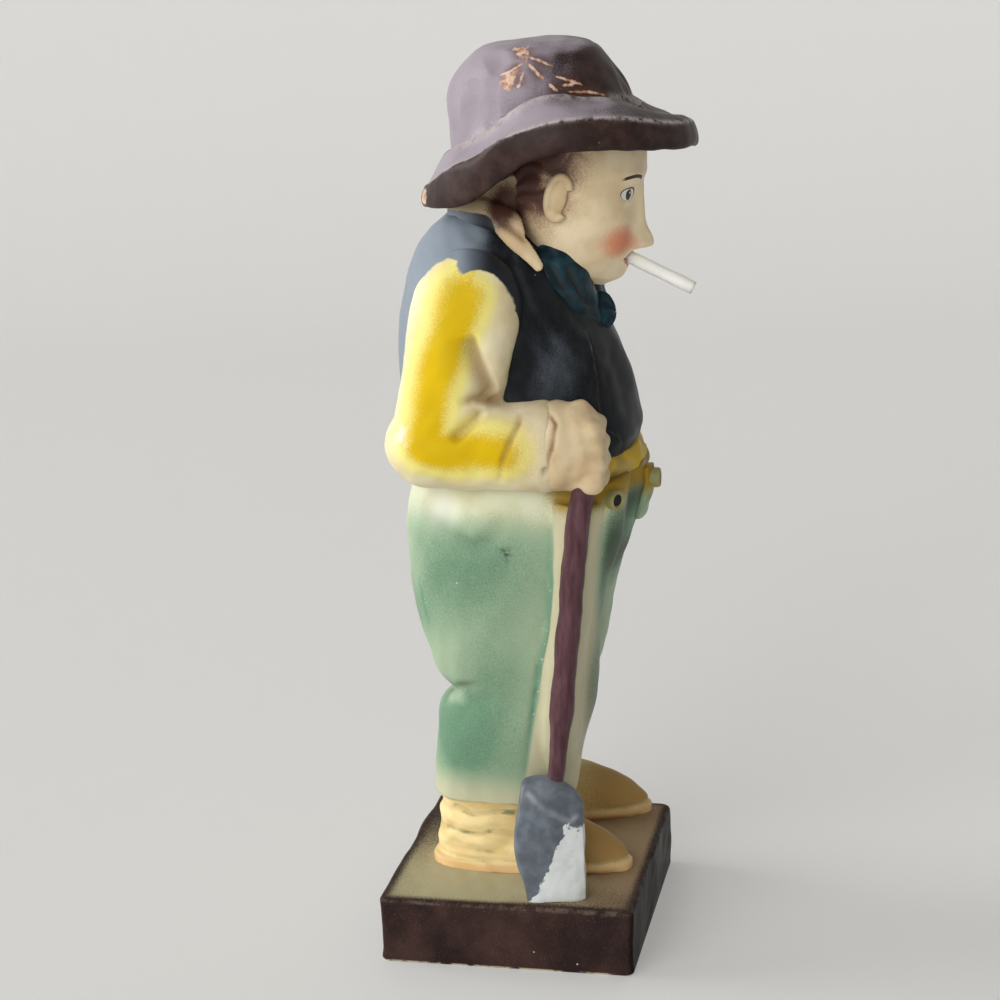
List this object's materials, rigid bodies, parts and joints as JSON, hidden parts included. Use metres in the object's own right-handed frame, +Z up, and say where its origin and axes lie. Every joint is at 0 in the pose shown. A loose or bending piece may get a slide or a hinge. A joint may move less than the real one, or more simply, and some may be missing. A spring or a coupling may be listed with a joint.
{
  "type": "lumberjack figurine",
  "caption": "Painted cast figurine of a lumberjack in a wide hat leaning on an axe, standing on a square plinth, with a loose cigarette in its mouth.",
  "frame": {"origin": "centre of the plinth's flat underside", "axes": "+Z up from the plinth; the figure faces -Y, and its right hand with the axe is towards -X"},
  "size_m": [0.099, 0.0993, 0.2884],
  "materials": {
    "plinth_brown": "dark brown cold paint, airbrushed beige on top",
    "boot_tan": "tan cold paint with ochre shading",
    "trouser_green": "pale green airbrushed over cream",
    "button_dark": "dark paint",
    "shirt_yellow": "cream with airbrushed yellow",
    "vest_black": "charcoal matt paint",
    "skin_cream": "cream paint with rosy shading",
    "kerchief_blue": "dark teal paint",
    "hat_brown": "maroon-brown paint with chips",
    "haft_maroon": "maroon paint",
    "axe_grey": "dark grey paint with a pale edge",
    "cigarette_paper": "white rolled paper"
  },
  "bodies": {
    "figure": {"plinth": "plinth_brown", "boot_right": "boot_tan", "boot_left": "boot_tan", "trousers": "trouser_green", "fly_flap": "trouser_green", "fly_button": "button_dark", "brace_button_right": "button_dark", "brace_button_left": "button_dark", "shirt_band": "shirt_yellow", "vest": "vest_black", "sleeve_right": "shirt_yellow", "sleeve_left": "shirt_yellow", "hand_right": "skin_cream", "hand_left": "skin_cream", "collar": "skin_cream", "neckerchief": "kerchief_blue", "kerchief_knot": "kerchief_blue", "head": "skin_cream", "ear_right": "skin_cream", "ear_left": "skin_cream", "hat": "hat_brown", "axe_haft": "haft_maroon", "axe_head": "axe_grey"},
    "cigarette": {"cigarette": "cigarette_paper"}
  },
  "joints": [
    {"name": "cigarette_pull", "type": "slide", "parent": "figure", "child": "cigarette", "axis": [0, -0.8988, -0.4384], "range_m": [0, 0.015]}
  ]
}
